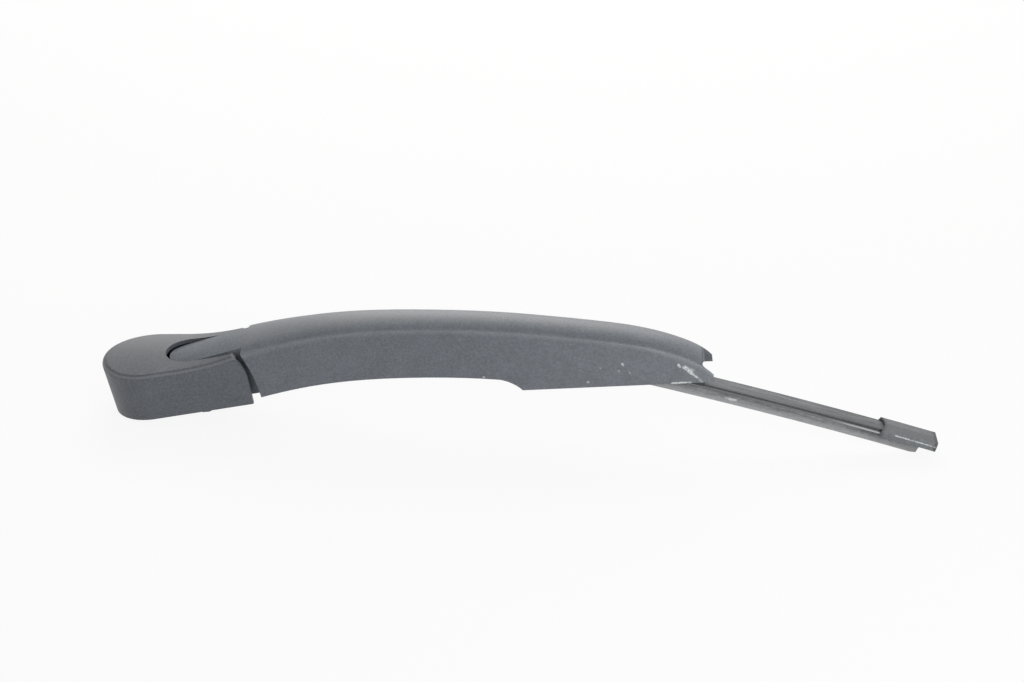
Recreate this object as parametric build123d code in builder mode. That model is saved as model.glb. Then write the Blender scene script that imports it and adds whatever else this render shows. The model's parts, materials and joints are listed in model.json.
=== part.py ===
from build123d import *
import os
from math import acos, atan2, cos, degrees, hypot, radians, sin, sqrt

# Wiper arm with its blade fitted, in millimetres.
# The origin is on the spindle's axis, at the foot of the head. +X runs along the arm to its tip,
# +Z runs up the spindle, and -Y is the near side.

# Fits between pieces
press_gap = 0.02
running_gap = 0.05
side_play = 0.1
slide_play = 0.15
notch_gap = 1.0
notch_front_gap = 1.5

# Head cap
cap_foot_radius = 20.8
cap_top_radius = 22.8
cap_foot_half_width = 14.8
cap_top_half_width = 15.2
cap_reach = 49.6
cap_height = 25.2
cap_crown_radius = 150.0
cap_back_slope = 0.042
cap_rise = 5.0
cap_rise_start = 16.0
cap_rise_run = 40.0
cap_wall = 2.0
cap_corner_drop = 11.0
cap_corner_depth = 10.0
cap_corner_rise = 4.3
cap_edge_radius = 2.6
cap_blank = 32.0
cap_rail_height = 1.8
cap_rail_bite = 1.5
cap_rail_start = -10.0
cap_rail_end = 40.0
cap_catch_start = -6.0
cap_catch_end = 12.0
cap_tab_x = 25.0
cap_tab_y = 16.2
cap_tab_length = 3.2
cap_tab_run = 2.0
cap_tab_thickness = 1.4
cap_tab_drop = 0.8

# Spindle bore and boss of the casting
bore_radius = 4.6
bore_length = 8.0
bore_chamfer = 0.8
thread_radius = 4.2
bore_shoulder = 0.8
boss_radius = 10.4
boss_height = 13.0
flange_half_width = 12.4
flange_foot = 1.6
flange_height = 2.6
flange_end = 20.0

# Hinge between the head and the arm
hinge_x = 27.0
hinge_z = 14.8
hinge_pin_radius = 3.0
lift_angle = 45.0
over_centre_angle = 26.0
fork_half_width = 6.0
fork_slot_half_width = 2.6
fork_slot_start = 13.5
fork_eye_radius = 5.5
fork_bar_height = 6.3
fork_nose_reach = 10.0
fork_nose_depth = 5.5
stop_gap = 0.25
bush_radius = 4.4
bush_flange_radius = 5.6
bush_flange = 0.9
bush_inset = 0.3

# Arm shell
tongue_tip_x = 10.6
tongue_half_width = 10.3
neck_wall = 2.5
cheek_back = 12.3
cheek_slant = 2.8
cheek_drop = 7.0
shoulder_x = 48.6
shoulder_bulge = 4.0
shoulder_foot = 5.6
shoulder_top_z = 27.5
arm_tip_x = 269.4
arm_wall = 2.2
arm_foot_z = 3.4
arm_tip_foot_z = -14.1
arm_step_x = 178.7
arm_step_length = 10.1
arm_step_top_z = -1.9
arm_step_foot_z = -8.8
arm_step_bend = 0.42
crease_radius = 0.7
scoop_depth = 4.7
scoop_half_width = 9.8
scoop_corner_radius = 1.2
rib_depth = 1.8
rib_thickness = 1.6
rib_count = 4
rib_start_x = 66.0
rib_pitch = 13.0

# Sections of the arm: share of the way from shoulder to tip, crease height, half width, crown
arm_sections = [
    (-0.193, 20.7, 14.9, 2.2),
    (-0.084, 23.9, 14.8, 2.2),
    (0.0, 27.0, 15.5, 2.6),
    (0.13, 30.3, 13.4, 3.3),
    (0.22, 31.0, 12.1, 3.3),
    (0.39, 28.4, 10.95, 3.3),
    (0.56, 23.0, 10.6, 3.3),
    (0.73, 15.2, 10.5, 3.2),
    (0.87, 6.8, 10.45, 3.0),
    (0.935, 0.5, 10.4, 2.8),
    (0.975, -5.0, 10.4, 2.4),
    (1.01, -14.2, 10.4, 2.0),
]
# Lower edge of the arm between shoulder and step: share of the way, height
arm_foot_points = [(0.34, 6.0), (0.66, 3.7), (0.84, 1.2)]

# Spring and its hook
hook_pin_radius = 2.0
hook_pin_offset = 8.0
hook_thickness = 3.0
hook_bar = 3.4
hook_eye_radius = 3.6
hook_end_radius = 4.4
hook_drop = 8.1
hook_run = 11.5
hook_rise = 6.0
hook_length = 30.0
hook_hole_radius = 2.4
hook_bend_radius = 2.6
anchor_x = 120.0
anchor_z = 17.0
anchor_pin_radius = 2.5
anchor_boss_radius = 4.8
anchor_boss_gap = 3.6
wire_radius = 1.0
coil_radius = 4.5
coil_pitch = 4.0
end_wire_radius = 0.93
end_leg = 4.0
end_overlap = 0.5

# Blade pivot and the line of the blade
pivot_from_tip = 11.7
pivot_above_foot = 4.7
pivot_pin_radius = 2.0
pivot_boss_radius = 4.2
pivot_boss_gap = 5.2
pivot_height = 6.0
blade_stop_gap = 0.3
blade_bend_radius = 2500.0
blade_outer_length = 127.0
blade_inner_length = 114.0

# Blade sections, measured down from the top of the strip
strip_half_width = 4.4
strip_edge = 0.45
strip_neck_half_width = 3.5
strip_height = 1.2
strip_slot_half_width = 2.2
strip_slot_height = 0.6
rail_inner = 1.5
rail_outer = 5.0
rail_top = 1.3
rail_thickness = 0.9
rubber_head_half_width = 2.1
rubber_neck_half_width = 1.4
rubber_shoulder_half_width = 4.7
rubber_shoulder_foot = 3.5
rubber_hinge_half_width = 0.8
rubber_hinge_foot = 4.5
rubber_lip_half_width = 2.2
rubber_edge_half_width = 0.5
rubber_foot = 9.6
rubber_gap = 0.05
strip_end_inset = 7.0
end_cap_half_width = 5.9
end_cap_proud = 1.4
end_cap_shoulder = -0.7
end_cap_top_half_width = 5.2
end_cap_foot = 3.1
end_cap_length = 28.5
end_cap_hollow = 1.9
end_cap_gap = 0.12
bracket_half_length = 10.0
bracket_half_width = 4.8
bracket_cheek = 1.4
bracket_eye_radius = 4.2
clip_half_length = 8.0
clip_boss_radius = 3.4
clip_block_height = 3.0
clip_mouth = 3.4

os.makedirs("parts", exist_ok=True)
far = 60.0
halvings = 40


def arm_x(share):
    """Place along X of a share of the way from shoulder to tip."""
    return shoulder_x + share * (arm_tip_x - shoulder_x)


def arm_section_at(x):
    """Crease height, half width and crown of the arm at x, between its nearest sections."""
    for before, after in zip(arm_sections, arm_sections[1:]):
        start, end = arm_x(before[0]), arm_x(after[0])
        if x <= end:
            part_way = (x - start) / (end - start)
            return [a + part_way * (b - a) for a, b in zip(before[1:], after[1:])]
    return list(arm_sections[-1][1:])


def roof_under(x, y):
    """Height of the underside of the arm's roof."""
    crease, half_width, crown = arm_section_at(x)
    return crease + crown * (1 - (y / half_width) ** 2) - arm_wall


def shoulder_region(shift):
    """Sketch, in XZ, of all that lies before the shoulder."""
    top = (shoulder_x + shift, shoulder_top_z)
    middle = (shoulder_x + shoulder_bulge + shift, hinge_z)
    foot = (shoulder_x + shoulder_foot + shift, arm_foot_z)
    with BuildLine() as region:
        edge = ThreePointArc(foot, middle, top)
        Polyline(edge @ 1, (top[0], far), (-far, far), (-far, -far), (foot[0], -far), edge @ 0)
    make_face(region.edges())


def arm_form(inset, neck_half_width, shift, rounding=None):
    """The arm's full form, taken in by inset, with the neck cut to its half width."""
    with BuildPart() as form:
        for share, crease, half_width, crown in arm_sections:
            with BuildSketch(Plane.YZ.offset(arm_x(share))):
                side = half_width - inset
                top = crease - inset
                with BuildLine():
                    ThreePointArc((side, top), (0, top + crown), (-side, top))
                    Polyline((-side, top), (-side, -far - inset), (side, -far - inset), (side, top))
                make_face()
        loft()
        if rounding:
            fillet(form.edges().group_by(Edge.length)[-1], rounding)
        for side in (1, -1):
            with BuildSketch(Plane.XZ.offset(side * neck_half_width)):
                shoulder_region(shift)
            extrude(amount=side * far, mode=Mode.SUBTRACT)
    return form.part


def cap_outline(radius, half_width, reach):
    """Sketch of the cap's plan: round about the spindle, with tangent sides and a straight end."""
    angle = atan2(half_width, reach) + acos(radius / hypot(reach, half_width))
    touch = (radius * cos(angle), radius * sin(angle))
    with BuildLine() as outline:
        ThreePointArc(touch, (-radius, 0), (touch[0], -touch[1]))
        Polyline((touch[0], -touch[1]), (reach, -half_width), (reach, half_width), touch)
    make_face(outline.edges())


def cap_form(inset, reach, foot):
    """The cap's full form, taken in by inset, with a crowned top that rises towards both ends."""
    top = cap_height - inset
    back = top + cap_back_slope * (far + cap_rise_start)
    back_side = back - cap_crown_radius + sqrt(cap_crown_radius**2 - cap_blank**2)
    with BuildPart() as form:
        with BuildSketch(Plane.XY.offset(foot)):
            cap_outline(cap_foot_radius - inset, cap_foot_half_width - inset, reach)
        with BuildSketch(Plane.XY.offset(cap_blank)):
            cap_outline(cap_top_radius - inset, cap_top_half_width - inset, reach)
        loft(ruled=True)
        with BuildLine(Plane.XZ) as ridge:
            slope = Line((-far, back), (cap_rise_start, top))
            TangentArc(slope @ 1, (cap_rise_start + cap_rise_run, top + cap_rise), tangent=slope % 1)
        with BuildSketch(Plane.YZ.offset(-far)):
            with BuildLine():
                ThreePointArc((cap_blank, back_side), (0, back), (-cap_blank, back_side))
                Polyline(
                    (-cap_blank, back_side),
                    (-cap_blank, -far / 2),
                    (cap_blank, -far / 2),
                    (cap_blank, back_side),
                )
            make_face()
        sweep(path=ridge.line, mode=Mode.INTERSECT)
    return form.part


# Head cap: a thin shell, open below and towards the arm, with a U-shaped notch for the tongue
flange_top = flange_foot + flange_height
with BuildPart() as head_cap:
    add(cap_form(0, cap_reach, 0))
    fillet(head_cap.faces().sort_by(Axis.Z)[-1].edges().sort_by(Axis.X)[:-1], cap_edge_radius)
    add(cap_form(cap_wall, cap_reach + cap_wall, -cap_wall), mode=Mode.SUBTRACT)
    # Rails that ride on the casting's flange, and catches that slide in under it
    for start, end, foot, height in (
        (cap_rail_start, cap_rail_end, flange_top + slide_play, cap_rail_height),
        (cap_catch_start, cap_catch_end, 0, flange_foot - slide_play),
    ):
        with BuildPart(mode=Mode.PRIVATE) as rails:
            with BuildSketch(Plane.XY.offset(foot)):
                for side in (1, -1):
                    with Locations(((start + end) / 2, side * (flange_half_width - cap_rail_bite))):
                        Rectangle(
                            end - start,
                            far / 2,
                            align=(Align.CENTER, Align.MIN if side > 0 else Align.MAX),
                        )
            extrude(amount=height)
            add(cap_form(cap_wall / 2, cap_reach, 0), mode=Mode.INTERSECT)
        add(rails.part)
    # Notch for the arm's tongue
    notch_half_width = tongue_half_width + notch_gap
    notch_apex = tongue_tip_x - notch_front_gap
    with BuildSketch(Plane.XY.offset(hinge_z)):
        with Locations((notch_apex + notch_half_width, 0)):
            Circle(notch_half_width)
            Rectangle(far, 2 * notch_half_width, align=(Align.MIN, Align.CENTER))
    extrude(amount=far, mode=Mode.SUBTRACT)
    # Rounded upper corners beside the arm's shoulder
    with BuildSketch(Plane.XZ):
        with BuildLine():
            corner = ThreePointArc(
                (cap_reach, cap_height - cap_corner_drop),
                (cap_reach - cap_corner_depth / 4, cap_height - cap_corner_drop / 5),
                (cap_reach - cap_corner_depth, cap_height + cap_corner_rise),
            )
            Polyline(
                corner @ 1,
                (cap_reach - cap_corner_depth, far),
                (far, far),
                (far, cap_height - cap_corner_drop),
                corner @ 0,
            )
        make_face()
    extrude(amount=far, both=True, mode=Mode.SUBTRACT)
    # Small tabs with sloping ends on the lower edge
    for side in (1, -1):
        with BuildSketch(Plane.XZ.offset(side * cap_tab_y)):
            Polygon(
                (cap_tab_x - cap_tab_run, cap_tab_drop),
                (cap_tab_x, -cap_tab_drop),
                (cap_tab_x + cap_tab_length, -cap_tab_drop),
                (cap_tab_x + cap_tab_length + 2 * cap_tab_run, cap_tab_drop),
                align=None,
            )
        extrude(amount=cap_tab_thickness / 2, both=True)
head_cap.part.label = "head_cap"
export_step(head_cap.part, "parts/head_cap.step")

# Hook pin: set so that the spring goes over centre part of the way up
anchor_angle = degrees(atan2(anchor_z - hinge_z, anchor_x - hinge_x))
hook_angle = radians(anchor_angle + over_centre_angle)
hook_x = hinge_x - hook_pin_offset * cos(hook_angle)
hook_z = hinge_z - hook_pin_offset * sin(hook_angle)

# Head casting: boss with the spindle's bore, flange for the cap and fork for the hinge
tongue_reach = hypot(hinge_x - tongue_tip_x, roof_under(tongue_tip_x, 0) + arm_wall - hinge_z)
roof_slope = degrees(
    atan2(
        roof_under(hinge_x, 0) - roof_under(tongue_tip_x, 0), hinge_x - tongue_tip_x
    )
)
back_slope = radians(lift_angle + roof_slope)
eye_back = (
    hinge_x - fork_eye_radius * sin(back_slope),
    hinge_z + fork_eye_radius * cos(back_slope),
)
bar_back = eye_back[0] - (eye_back[1] - fork_bar_height) / (sin(back_slope) / cos(back_slope))
nose_x = hinge_x + fork_nose_reach
nose_z = roof_under(nose_x, fork_half_width) - stop_gap
with BuildPart() as head_casting:
    with BuildSketch():
        Circle(boss_radius)
    extrude(amount=boss_height)
    with BuildSketch(Plane.XZ):
        with Locations((hinge_x, hinge_z)):
            Circle(tongue_reach + notch_gap)
    extrude(amount=far, both=True, mode=Mode.SUBTRACT)
    with BuildSketch(Plane.XY.offset(flange_foot)):
        Circle(flange_half_width)
        Rectangle(flange_end, 2 * flange_half_width, align=(Align.MIN, Align.CENTER))
    extrude(amount=flange_height)
    with BuildSketch(Plane.XZ):
        with Locations((hinge_x, hinge_z)):
            Circle(fork_eye_radius)
        Polygon(
            (0, 0),
            (hinge_x - fork_eye_radius, 0),
            (hinge_x + fork_eye_radius * cos(back_slope), hinge_z - fork_eye_radius * sin(back_slope)),
            (hinge_x, hinge_z),
            eye_back,
            (bar_back, fork_bar_height),
            (0, fork_bar_height),
            align=None,
        )
        Polygon(
            (hinge_x, hinge_z),
            (hinge_x, hinge_z + fork_eye_radius),
            (nose_x, nose_z),
            (nose_x, nose_z - fork_nose_depth),
            (hinge_x + fork_eye_radius * cos(back_slope), hinge_z - fork_eye_radius * sin(back_slope)),
            align=None,
        )
    extrude(amount=fork_half_width, both=True)
    with BuildSketch():
        with Locations((fork_slot_start, 0)):
            Rectangle(far, 2 * fork_slot_half_width, align=(Align.MIN, Align.CENTER))
    extrude(amount=far, mode=Mode.SUBTRACT)
    # Bore: a seat for the spindle's knurl, with a hole for its thread above
    with BuildSketch(Plane.XZ):
        Polygon(
            (0, 0),
            (bore_radius + bore_chamfer, 0),
            (bore_radius, bore_chamfer),
            (bore_radius, bore_chamfer + bore_length),
            (thread_radius, bore_chamfer + bore_length + bore_shoulder),
            (thread_radius, boss_height),
            (0, boss_height),
            align=None,
        )
    revolve(axis=Axis.Z, mode=Mode.SUBTRACT)
    with BuildSketch(Plane.XZ):
        with Locations((hinge_x, hinge_z)):
            Circle(hinge_pin_radius + press_gap)
        with Locations((hook_x, hook_z)):
            Circle(hook_pin_radius + press_gap)
    extrude(amount=far, both=True, mode=Mode.SUBTRACT)
head_casting.part.label = "head_casting"
export_step(head_casting.part, "parts/head_casting.step")

# Pins in the fork
with BuildPart() as hinge_pin:
    with BuildSketch(Plane.XZ):
        with Locations((hinge_x, hinge_z)):
            Circle(hinge_pin_radius)
    extrude(amount=tongue_half_width - bush_inset, both=True)
hinge_pin.part.label = "hinge_pin"
export_step(hinge_pin.part, "parts/hinge_pin.step")

with BuildPart() as hook_pin:
    with BuildSketch(Plane.XZ):
        with Locations((hook_x, hook_z)):
            Circle(hook_pin_radius)
    extrude(amount=fork_half_width, both=True)
hook_pin.part.label = "hook_pin"
export_step(hook_pin.part, "parts/hook_pin.step")

# Flanged bushes in the arm's cheeks
neck_inside = tongue_half_width - neck_wall
for place, side in (("near", 1), ("far", -1)):
    with BuildPart() as bush:
        with BuildSketch(Plane.XZ.offset(side * (neck_inside - bush_flange))):
            with Locations((hinge_x, hinge_z)):
                Circle(bush_flange_radius)
                Circle(hinge_pin_radius + running_gap, mode=Mode.SUBTRACT)
        extrude(amount=side * bush_flange)
        with BuildSketch(Plane.XZ.offset(side * neck_inside)):
            with Locations((hinge_x, hinge_z)):
                Circle(bush_radius)
                Circle(hinge_pin_radius + running_gap, mode=Mode.SUBTRACT)
        extrude(amount=side * (neck_wall - bush_inset))
    bush.part.label = "hinge_bush_" + place
    export_step(bush.part, "parts/hinge_bush_" + place + ".step")

# Arm shell: an inverted channel with a tongue, a shoulder, cheeks for the hinge and bosses for pins
pivot_x = arm_tip_x - pivot_from_tip
foot_slope = (arm_tip_foot_z - arm_step_foot_z) / (arm_tip_x - arm_step_x)
pivot_z = arm_tip_foot_z - foot_slope * pivot_from_tip + pivot_above_foot
cross_pins = [
    (anchor_x, anchor_z, anchor_pin_radius, anchor_boss_radius, anchor_boss_gap),
    (pivot_x, pivot_z, pivot_pin_radius, pivot_boss_radius, pivot_boss_gap),
]
with BuildPart() as arm_shell:
    add(arm_form(0, tongue_half_width, 0, crease_radius))
    add(arm_form(arm_wall, neck_inside, arm_wall), mode=Mode.SUBTRACT)
    # Frame ribs inside the channel
    with BuildPart(mode=Mode.PRIVATE) as ribs:
        with BuildSketch(Plane.XY.offset(-far)):
            for index in range(rib_count):
                with Locations((rib_start_x + index * rib_pitch, 0)):
                    Rectangle(rib_thickness, far)
        extrude(amount=2 * far)
        add(arm_form(arm_wall / 2, neck_inside, 0), mode=Mode.INTERSECT)
        add(arm_form(arm_wall + rib_depth, neck_inside, 0), mode=Mode.SUBTRACT)
    add(ribs.part)
    # Bosses for the spring's anchor pin and the blade's pivot pin
    for x, z, pin_radius, boss_radius_here, gap in cross_pins:
        wall = arm_section_at(x)[1] - arm_wall / 2
        for side in (1, -1):
            with BuildSketch(Plane.XZ.offset(side * gap)):
                with Locations((x, z)):
                    Circle(boss_radius_here)
            extrude(amount=side * (wall - gap))
    # Lower outline, from the tongue's lip round the hinge cheeks to the tip
    lip_z = roof_under(tongue_tip_x, neck_inside) - notch_gap / 2
    with BuildSketch(Plane.XZ):
        with BuildLine():
            foot_x = shoulder_x + shoulder_foot
            step_start = arm_step_x - arm_step_length
            neck = Polyline(
                (-far, -far),
                (-far, lip_z),
                (hinge_x - cheek_back, lip_z),
                (hinge_x - cheek_back + cheek_slant, hinge_z - bush_flange_radius),
                (hinge_x - bush_flange_radius, hinge_z - cheek_drop),
                (hinge_x + bush_flange_radius, hinge_z - cheek_drop),
                (foot_x - shoulder_bulge - shoulder_foot / 2, arm_foot_z - notch_gap / 2),
                (foot_x, arm_foot_z),
            )
            run = step_start - foot_x
            arch = Spline(
                neck @ 1,
                *[(foot_x + share * run, height) for share, height in arm_foot_points],
                (step_start, arm_step_top_z),
            )
            step = ThreePointArc(
                arch @ 1,
                (
                    arm_step_x - arm_step_bend * arm_step_length,
                    arm_step_top_z + arm_step_bend * (arm_step_foot_z - arm_step_top_z),
                ),
                (arm_step_x, arm_step_foot_z),
            )
            beyond = arm_tip_x + far
            Polyline(
                step @ 1,
                (beyond, arm_step_foot_z + foot_slope * (beyond - arm_step_x)),
                (beyond, -2 * far),
                (-far, -2 * far),
                (-far, -far),
            )
        make_face()
    extrude(amount=far, both=True, mode=Mode.SUBTRACT)
    # Rounded tongue
    with BuildSketch(Plane.XY.offset(-far)):
        with Locations((tongue_tip_x + tongue_half_width, 0)):
            Rectangle(far, 2 * far, align=(Align.MAX, Align.CENTER))
            Circle(tongue_half_width, mode=Mode.SUBTRACT)
    extrude(amount=2 * far, mode=Mode.SUBTRACT)
    # Square end, and the scoop that leaves a swallow tail
    with BuildSketch(Plane.XY.offset(-far)):
        with Locations((arm_tip_x, 0)):
            Rectangle(far, 2 * far, align=(Align.MIN, Align.CENTER))
        with Locations((arm_tip_x - scoop_depth, 0)):
            RectangleRounded(
                far, 2 * scoop_half_width, scoop_corner_radius, align=(Align.MIN, Align.CENTER)
            )
    extrude(amount=2 * far, mode=Mode.SUBTRACT)
    # Holes: the bushes go right through, and the two cross pins stop in the near bosses
    with BuildSketch(Plane.XZ):
        with Locations((hinge_x, hinge_z)):
            Circle(bush_radius + press_gap)
    extrude(amount=far, both=True, mode=Mode.SUBTRACT)
    for x, z, pin_radius, boss_radius_here, gap in cross_pins:
        with BuildSketch(Plane.XZ.offset(arm_section_at(x)[1] - arm_wall)):
            with Locations((x, z)):
                Circle(pin_radius + press_gap)
        extrude(amount=-2 * far, mode=Mode.SUBTRACT)
arm_shell.part.label = "arm_shell"
export_step(arm_shell.part, "parts/arm_shell.step")

# Cross pins, pressed in from the far side
for name, (x, z, pin_radius, boss_radius_here, gap) in zip(
    ("spring_anchor_pin", "blade_pivot_pin"), cross_pins
):
    half_width = arm_section_at(x)[1]
    with BuildPart() as pin:
        with BuildSketch(Plane.XZ.offset(half_width - arm_wall)):
            with Locations((x, z)):
                Circle(pin_radius)
        extrude(amount=-(2 * half_width - 1.5 * arm_wall))
    pin.part.label = name
    export_step(pin.part, "parts/" + name + ".step")

# Spring hook: a flat bar that drops round the hinge pin, from its eye on the hook pin to the spring
pull_angle = degrees(atan2(anchor_z - hook_z, anchor_x - hook_x))
hook_plane = Plane(
    origin=(hook_x, 0, hook_z),
    x_dir=(cos(radians(pull_angle)), 0, sin(radians(pull_angle))),
    z_dir=(0, -1, 0),
)
with BuildPart() as spring_hook:
    with BuildSketch(hook_plane):
        with BuildLine():
            FilletPolyline(
                (0, 0),
                (hook_thickness / 3, -hook_drop),
                (hook_run, -hook_drop),
                (hook_run + hook_rise, 0),
                (hook_length, 0),
                radius=hook_bend_radius,
            )
        trace(line_width=hook_bar)
        Circle(hook_eye_radius)
        with Locations((hook_length, 0)):
            Circle(hook_end_radius)
        Circle(hook_pin_radius + running_gap, mode=Mode.SUBTRACT)
        with Locations((hook_length, 0)):
            Circle(hook_hole_radius, mode=Mode.SUBTRACT)
    extrude(amount=hook_thickness / 2, both=True)
spring_hook.part.label = "spring_hook"
export_step(spring_hook.part, "parts/spring_hook.step")

# Tension spring: an open coil with one hook through the bar's hole and one round the anchor pin
pull_length = hypot(anchor_x - hook_x, anchor_z - hook_z)
bend_inside = coil_radius - end_wire_radius
bend_sag = coil_radius - sqrt(coil_radius**2 - (hook_thickness / 2) ** 2)
wire_seat = hook_length + hook_hole_radius - wire_radius - bend_sag - running_gap
coil_start = wire_seat + coil_radius + end_leg
coil_end = pull_length - end_leg - (bend_inside - anchor_pin_radius - running_gap)
coil_turns = round((coil_end - coil_start) / coil_pitch) + 0.25
spring_plane = Plane(
    origin=hook_plane.from_local_coords((coil_start, 0, 0)), x_dir=(0, 1, 0), z_dir=hook_plane.x_dir
)
coil_length = coil_end - coil_start
with BuildPart() as spring_form:
    with BuildLine() as coil:
        Helix(coil_length / coil_turns, coil_length, coil_radius)
    with BuildSketch(Plane(origin=coil.line @ 0, z_dir=coil.line % 0)):
        Circle(wire_radius)
    sweep(path=coil.line, is_frenet=True)
    for hook_form in (
        Plane(origin=(0, 0, 0), x_dir=(1, 0, 0), z_dir=(0, 1, 0)),
        Plane(origin=(0, 0, coil_length), x_dir=(0, 1, 0), z_dir=(1, 0, 0)),
    ):
        with BuildLine(hook_form) as wire:
            leg = Line((coil_radius, -end_overlap), (coil_radius, end_leg))
            TangentArc(leg @ 1, (-coil_radius, end_leg), tangent=leg % 1)
        with BuildSketch(Plane(origin=wire.line @ 0, z_dir=wire.line % 0)):
            Circle(end_wire_radius)
        sweep(path=wire.line)
with BuildPart() as tension_spring:
    add(spring_form.part.moved(spring_plane.location))
tension_spring.part.label = "tension_spring"
export_step(tension_spring.part, "parts/tension_spring.step")


# The blade follows one flat arc, with its middle under the pivot
def bend_centre_at(angle):
    """Centre of the blade's arc when the blade is tipped by an angle, in radians."""
    distance = blade_bend_radius + pivot_height
    return (pivot_x - distance * sin(angle), 0, pivot_z - distance * cos(angle))


def rest_pitch():
    """Angle at which the inner end cap comes up to its stop, the underside of the arm's roof."""
    level = 0.0
    steep = radians(lift_angle)
    reach = blade_bend_radius + end_cap_proud
    for _ in range(halvings):
        middle = (level + steep) / 2
        centre = bend_centre_at(middle)
        end_angle = middle - blade_inner_length / blade_bend_radius
        end_x = centre[0] + reach * sin(end_angle)
        end_z = centre[2] + reach * cos(end_angle)
        if roof_under(end_x, end_cap_top_half_width) - end_z > blade_stop_gap:
            level = middle
        else:
            steep = middle
    return level


pitch = rest_pitch()
bend_centre = bend_centre_at(pitch)
bend_axis = Axis(bend_centre, (0, 1, 0))


def blade_plane(along):
    """Section plane of the blade, its X across the arm and its Y up from the top of the strip."""
    angle = pitch + along / blade_bend_radius
    origin = (
        bend_centre[0] + blade_bend_radius * sin(angle),
        0,
        bend_centre[2] + blade_bend_radius * cos(angle),
    )
    return Plane(origin=origin, x_dir=(0, 1, 0), z_dir=(cos(angle), 0, -sin(angle)))


def blade_side_plane(along):
    """Side plane of the blade at a place along it, its X along the blade and its Y up."""
    section = blade_plane(along)
    return Plane(origin=section.origin, x_dir=section.z_dir, z_dir=(0, -1, 0))


def along_blade(start, end):
    """Run the pending section along the blade's arc."""
    revolve(axis=bend_axis, revolution_arc=degrees((end - start) / blade_bend_radius))


def mirrored_outline(points):
    """Sketch of a section given by its right half, from top to foot."""
    Polygon(*points, *[(-x, y) for x, y in reversed(points)], align=None)


# Top strips, one on each side of the bracket
strip_points = [
    (strip_half_width, 0),
    (strip_half_width, -strip_edge),
    (strip_neck_half_width, -strip_edge),
    (strip_neck_half_width, -strip_height),
    (strip_slot_half_width, -strip_height),
    (strip_slot_half_width, -strip_height + strip_slot_height),
]
strip_spans = [
    ("spoiler_outer", bracket_half_length + side_play, blade_outer_length - strip_end_inset),
    ("spoiler_inner", strip_end_inset - blade_inner_length, -bracket_half_length - side_play),
]
for name, start, end in strip_spans:
    with BuildPart() as strip:
        with BuildSketch(blade_plane(start)):
            mirrored_outline(strip_points)
        along_blade(start, end)
    strip.part.label = name
    export_step(strip.part, "parts/" + name + ".step")

# Spring-steel rails
rail_start = strip_end_inset - blade_inner_length
rail_end = blade_outer_length - strip_end_inset
for place, side in (("near", -1), ("far", 1)):
    with BuildPart() as rail:
        with BuildSketch(blade_plane(rail_start)):
            with Locations((side * (rail_inner + rail_outer) / 2, -rail_top - rail_thickness / 2)):
                Rectangle(rail_outer - rail_inner, rail_thickness)
        along_blade(rail_start, rail_end)
    rail.part.label = "flexor_rail_" + place
    export_step(rail.part, "parts/flexor_rail_" + place + ".step")

# Wiping rubber: a head over the rails, shoulders under them, and a lip on a thin hinge
rail_foot = rail_top + rail_thickness
with BuildPart() as wiper_rubber:
    with BuildSketch(blade_plane(rail_start)):
        mirrored_outline(
            [
                (rubber_head_half_width, -strip_height + strip_slot_height - rubber_gap),
                (rubber_head_half_width, -rail_top + rubber_gap),
                (rubber_neck_half_width, -rail_top + rubber_gap),
                (rubber_neck_half_width, -rail_foot - rubber_gap),
                (rubber_shoulder_half_width, -rail_foot - rubber_gap),
                (rubber_shoulder_half_width, -rubber_shoulder_foot),
                (rubber_hinge_half_width, -rubber_shoulder_foot),
                (rubber_hinge_half_width, -rubber_hinge_foot),
                (rubber_lip_half_width, -rubber_hinge_foot),
                (rubber_edge_half_width, -rubber_foot),
            ]
        )
    along_blade(rail_start, rail_end)
wiper_rubber.part.label = "wiper_rubber"
export_step(wiper_rubber.part, "parts/wiper_rubber.step")

# End caps: crowned, closed at the end, hollow over the strip and the rails, scooped at the mouth
cap_points = [
    (end_cap_top_half_width, end_cap_proud),
    (end_cap_half_width, end_cap_shoulder),
    (end_cap_half_width, -end_cap_foot),
]
hollow_points = [
    (rail_outer + end_cap_gap, end_cap_gap),
    (rail_outer + end_cap_gap, -far),
]
mouth_radius = (end_cap_half_width**2 + end_cap_hollow**2) / (2 * end_cap_hollow)
for name, tip, inward in (
    ("end_cap_outer", blade_outer_length, -1),
    ("end_cap_inner", -blade_inner_length, 1),
):
    mouth = tip + inward * end_cap_length
    stop = tip + inward * (strip_end_inset - side_play)
    with BuildPart() as end_cap:
        low, high = sorted((tip, mouth))
        with BuildSketch(blade_plane(low)):
            mirrored_outline(cap_points)
        along_blade(low, high)
        low, high = sorted((stop, mouth + inward * end_cap_length))
        with BuildSketch(blade_plane(low)):
            mirrored_outline(hollow_points)
        revolve(
            axis=bend_axis,
            revolution_arc=degrees((high - low) / blade_bend_radius),
            mode=Mode.SUBTRACT,
        )
        scoop_plane = blade_plane(mouth)
        scoop = Plane(origin=scoop_plane.origin, x_dir=scoop_plane.z_dir, z_dir=scoop_plane.y_dir)
        with BuildSketch(scoop):
            with Locations((inward * (mouth_radius - end_cap_hollow), 0)):
                Circle(mouth_radius)
        extrude(amount=far / 2, both=True, mode=Mode.SUBTRACT)
    end_cap.part.label = name
    export_step(end_cap.part, "parts/" + name + ".step")

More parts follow.
